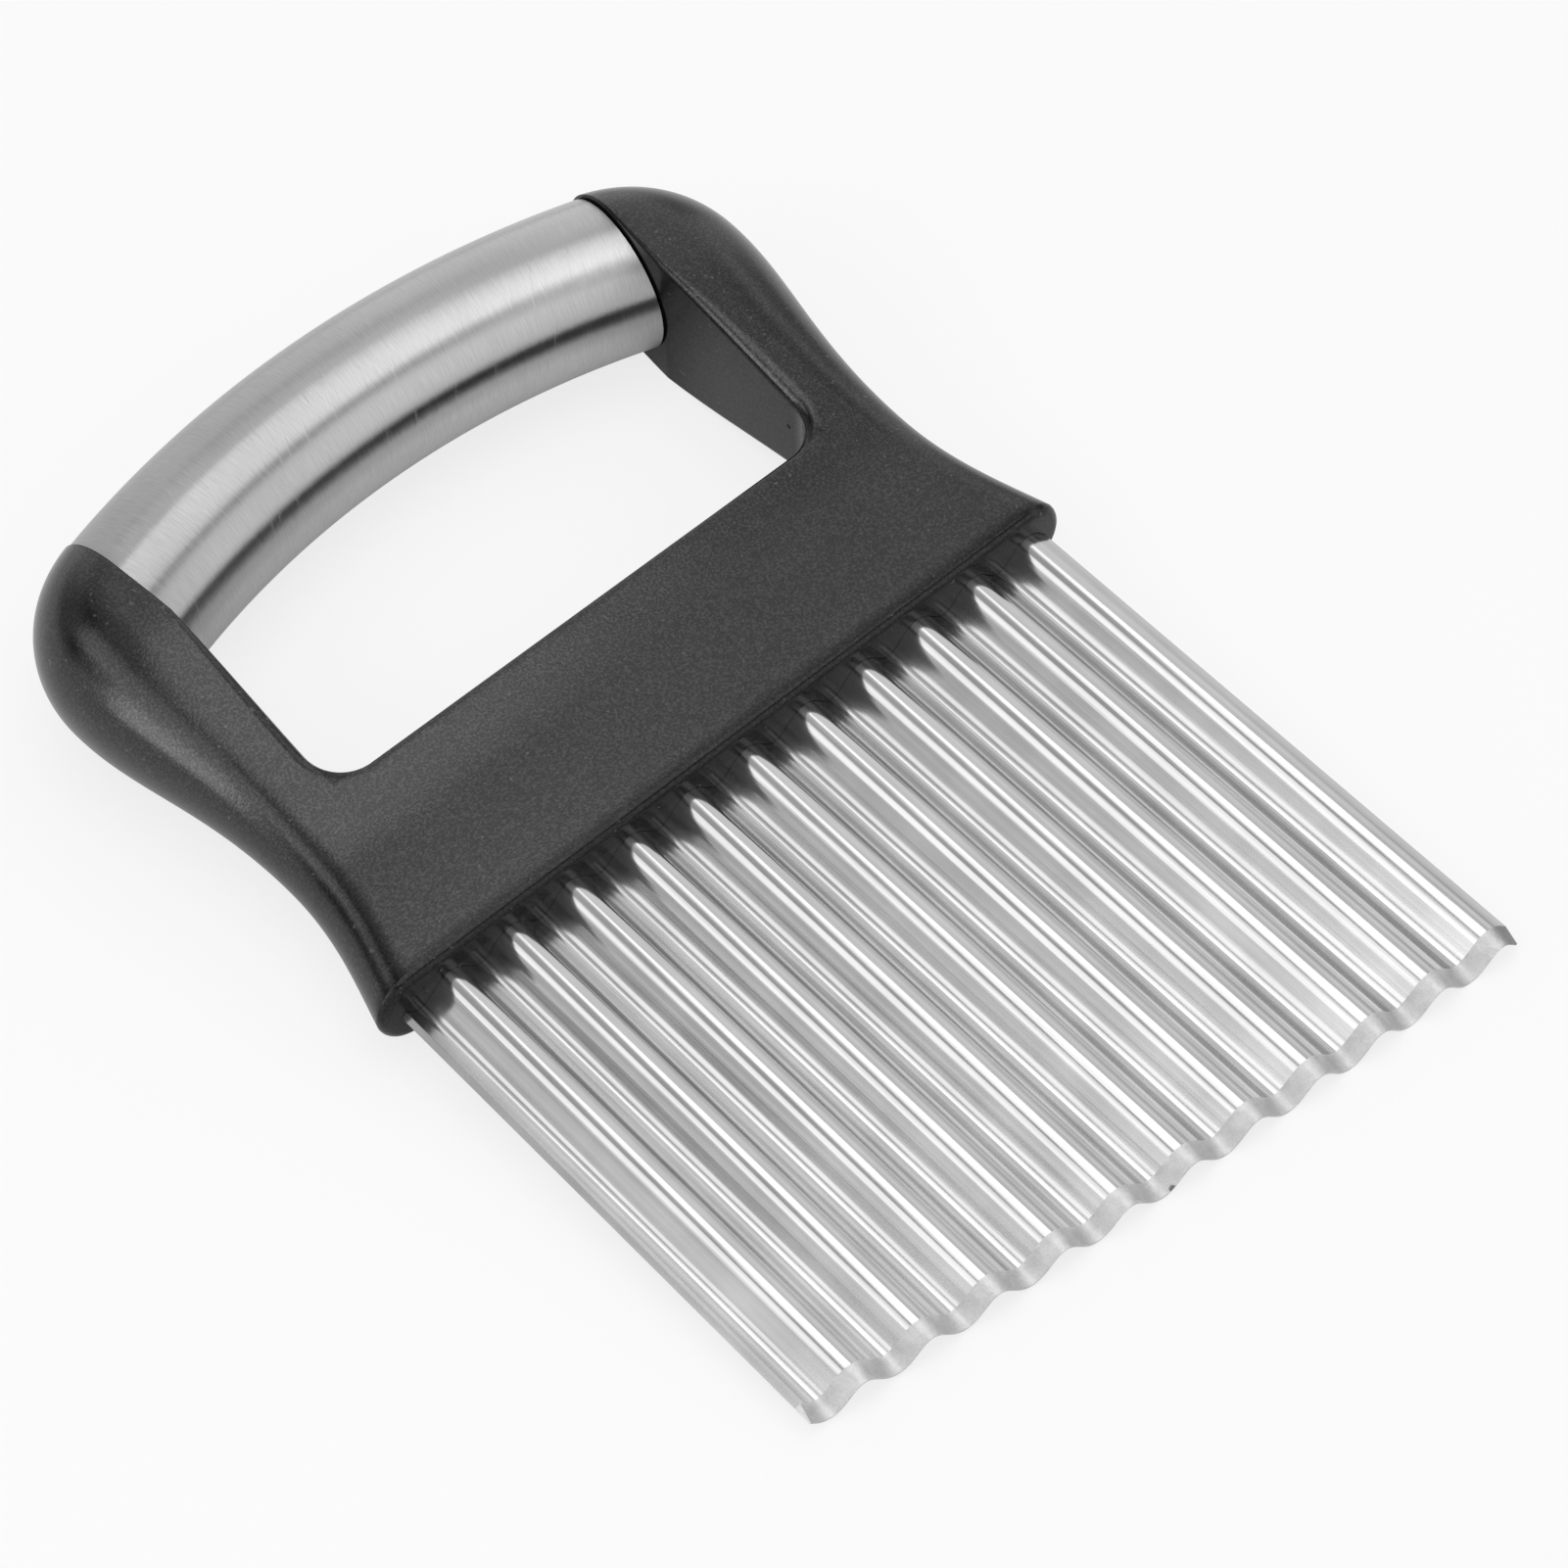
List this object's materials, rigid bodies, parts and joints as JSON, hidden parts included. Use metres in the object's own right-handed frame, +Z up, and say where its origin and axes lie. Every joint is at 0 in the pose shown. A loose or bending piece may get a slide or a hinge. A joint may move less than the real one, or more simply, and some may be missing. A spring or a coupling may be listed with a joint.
{
  "type": "crinkle cutter",
  "caption": "Hand cutter with a corrugated steel blade moulded into a black yoke, and an arched steel tube across the yoke's arms as its grip.",
  "frame": {"origin": "middle of the bounding box, on the table the cutter lies on", "axes": "+X across the blade towards the longer side of its slanted edge, +Y from the cutting edge towards the grip, +Z up from the table"},
  "size_m": [0.1064, 0.1616, 0.0233],
  "materials": {
    "yoke": "fine spark-eroded grain",
    "blade": "polished",
    "grip_tube": "brushed",
    "end_plug": "plain"
  },
  "bodies": {
    "root": {"yoke": "yoke", "blade": "blade", "grip_tube": "grip_tube", "end_plug_left": "end_plug", "end_plug_right": "end_plug"}
  },
  "joints": []
}
